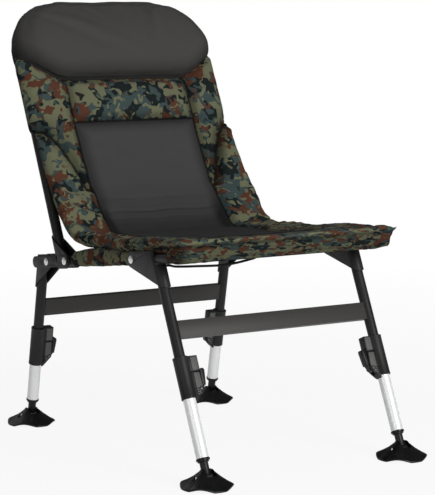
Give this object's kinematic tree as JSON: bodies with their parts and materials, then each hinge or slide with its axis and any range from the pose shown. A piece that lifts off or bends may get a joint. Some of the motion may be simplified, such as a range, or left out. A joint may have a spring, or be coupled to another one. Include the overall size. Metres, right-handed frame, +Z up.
{
  "type": "folding fishing chair",
  "caption": "Folding fishing chair: padded seat and reclined back with headrest on a tube frame, folding leg pairs, telescopic lower legs with cam locks and tilting mud feet.",
  "frame": {"origin": "on the ground under the middle of the chair's box", "axes": "+X to the chair's right seen from its front, +Z up, the chair faces -Y"},
  "size_m": [0.575, 0.8678, 0.9256],
  "materials": {
    "frame_paint": "satin",
    "bar_paint": "satin",
    "leg_aluminium": "polished",
    "rivet_zinc": "satin",
    "lock_plastic": "satin",
    "foot_plastic": "matte",
    "camouflage_cloth": "matte",
    "plain_cloth": "matte",
    "webbing": "matte"
  },
  "bodies": {
    "seat": {"seat_frame_tube": "frame_paint", "seat_platform": "webbing", "seat_mattress": "camouflage_cloth", "mattress_bend": "camouflage_cloth", "tie_cord": "webbing", "rail_end_left": "frame_paint", "rail_end_right": "frame_paint", "rail_sleeve_left": "camouflage_cloth", "rail_sleeve_right": "camouflage_cloth", "rivet_rear_left": "rivet_zinc", "rivet_rear_right": "rivet_zinc", "rivet_back_left": "rivet_zinc", "rivet_back_right": "rivet_zinc", "rivet_front_left": "rivet_zinc", "rivet_front_right": "rivet_zinc"},
    "front_frame": {"front_cross_bar": "bar_paint", "front_upper_tube_left": "frame_paint", "front_upper_tube_right": "frame_paint", "front_bracket_left": "frame_paint", "front_bracket_right": "frame_paint"},
    "rear_frame": {"rear_cross_bar": "bar_paint", "rear_upper_tube_left": "frame_paint", "rear_upper_tube_right": "frame_paint", "rear_bracket_left": "frame_paint", "rear_bracket_right": "frame_paint"},
    "backrest": {"back_frame_tube": "frame_paint", "headrest_pillow": "plain_cloth", "back_band": "camouflage_cloth", "back_panel": "plain_cloth", "back_bracket_left": "frame_paint", "back_bracket_right": "frame_paint", "back_wing_left": "camouflage_cloth", "back_wing_right": "camouflage_cloth", "back_side_pad_left": "camouflage_cloth", "back_side_pad_right": "camouflage_cloth"},
    "front_lower_leg_left": {"front_lower_tube_left": "leg_aluminium", "front_lock_left": "lock_plastic", "front_plug_left": "foot_plastic"},
    "front_lever_left": {"front_lever_left": "lock_plastic"},
    "front_foot_left": {"front_foot_left": "foot_plastic", "front_foot_pin_left": "rivet_zinc"},
    "rear_lower_leg_left": {"rear_lower_tube_left": "leg_aluminium", "rear_lock_left": "lock_plastic", "rear_plug_left": "foot_plastic"},
    "rear_lever_left": {"rear_lever_left": "lock_plastic"},
    "rear_foot_left": {"rear_foot_left": "foot_plastic", "rear_foot_pin_left": "rivet_zinc"},
    "front_lower_leg_right": {"front_lower_tube_right": "leg_aluminium", "front_lock_right": "lock_plastic", "front_plug_right": "foot_plastic"},
    "front_lever_right": {"front_lever_right": "lock_plastic"},
    "front_foot_right": {"front_foot_right": "foot_plastic", "front_foot_pin_right": "rivet_zinc"},
    "rear_lower_leg_right": {"rear_lower_tube_right": "leg_aluminium", "rear_lock_right": "lock_plastic", "rear_plug_right": "foot_plastic"},
    "rear_lever_right": {"rear_lever_right": "lock_plastic"},
    "rear_foot_right": {"rear_foot_right": "foot_plastic", "rear_foot_pin_right": "rivet_zinc"}
  },
  "joints": [
    {"name": "front_legs_fold", "type": "hinge", "parent": "seat", "child": "front_frame", "pos_m": [0, -0.12407, 0.41338], "axis": [1, 0, 0], "range_deg": [0, 82]},
    {"name": "rear_legs_fold", "type": "hinge", "parent": "seat", "child": "rear_frame", "pos_m": [0, 0.229, 0.3719], "axis": [1, 0, 0], "range_deg": [-97, 0]},
    {"name": "backrest_fold", "type": "hinge", "parent": "seat", "child": "backrest", "pos_m": [0, 0.14905, 0.38129], "axis": [1, 0, 0], "range_deg": [0, 76], "deforming": ["mattress_bend"]},
    {"name": "front_leg_slide_left", "type": "slide", "parent": "front_frame", "child": "front_lower_leg_left", "axis": [0, 0.4083, 0.9128], "range_m": [-0.07, 0.034]},
    {"name": "front_lever_turn_left", "type": "hinge", "parent": "front_lower_leg_left", "child": "front_lever_left", "pos_m": [-0.2085, -0.31212, 0.17645], "axis": [0, 0.9128, -0.4083], "range_deg": [0, 110]},
    {"name": "front_foot_tilt_left", "type": "hinge", "parent": "front_lower_leg_left", "child": "front_foot_left", "pos_m": [-0.2355, -0.38192, 0.0204], "axis": [1, 0, 0], "range_deg": [-64, 16]},
    {"name": "rear_leg_slide_left", "type": "slide", "parent": "rear_frame", "child": "rear_lower_leg_left", "axis": [0, 0.1857, -0.9826], "range_m": [-0.025, 0.07]},
    {"name": "rear_lever_turn_left", "type": "hinge", "parent": "rear_lower_leg_left", "child": "rear_lever_left", "pos_m": [-0.2085, 0.3121, 0.15312], "axis": [0, 0.9826, 0.1857], "range_deg": [0, 110]},
    {"name": "rear_foot_tilt_left", "type": "hinge", "parent": "rear_lower_leg_left", "child": "rear_foot_left", "pos_m": [-0.2355, 0.33718, 0.0204], "axis": [1, 0, 0], "range_deg": [-29, 51]},
    {"name": "front_leg_slide_right", "type": "slide", "parent": "front_frame", "child": "front_lower_leg_right", "axis": [0, 0.4083, 0.9128], "range_m": [-0.07, 0.034]},
    {"name": "front_lever_turn_right", "type": "hinge", "parent": "front_lower_leg_right", "child": "front_lever_right", "pos_m": [0.2085, -0.31212, 0.17645], "axis": [0, -0.9128, 0.4083], "range_deg": [0, 110]},
    {"name": "front_foot_tilt_right", "type": "hinge", "parent": "front_lower_leg_right", "child": "front_foot_right", "pos_m": [0.2355, -0.38192, 0.0204], "axis": [1, 0, 0], "range_deg": [-64, 16]},
    {"name": "rear_leg_slide_right", "type": "slide", "parent": "rear_frame", "child": "rear_lower_leg_right", "axis": [0, 0.1857, -0.9826], "range_m": [-0.025, 0.07]},
    {"name": "rear_lever_turn_right", "type": "hinge", "parent": "rear_lower_leg_right", "child": "rear_lever_right", "pos_m": [0.2085, 0.3121, 0.15312], "axis": [0, -0.9826, -0.1857], "range_deg": [0, 110]},
    {"name": "rear_foot_tilt_right", "type": "hinge", "parent": "rear_lower_leg_right", "child": "rear_foot_right", "pos_m": [0.2355, 0.33718, 0.0204], "axis": [1, 0, 0], "range_deg": [-29, 51]}
  ]
}
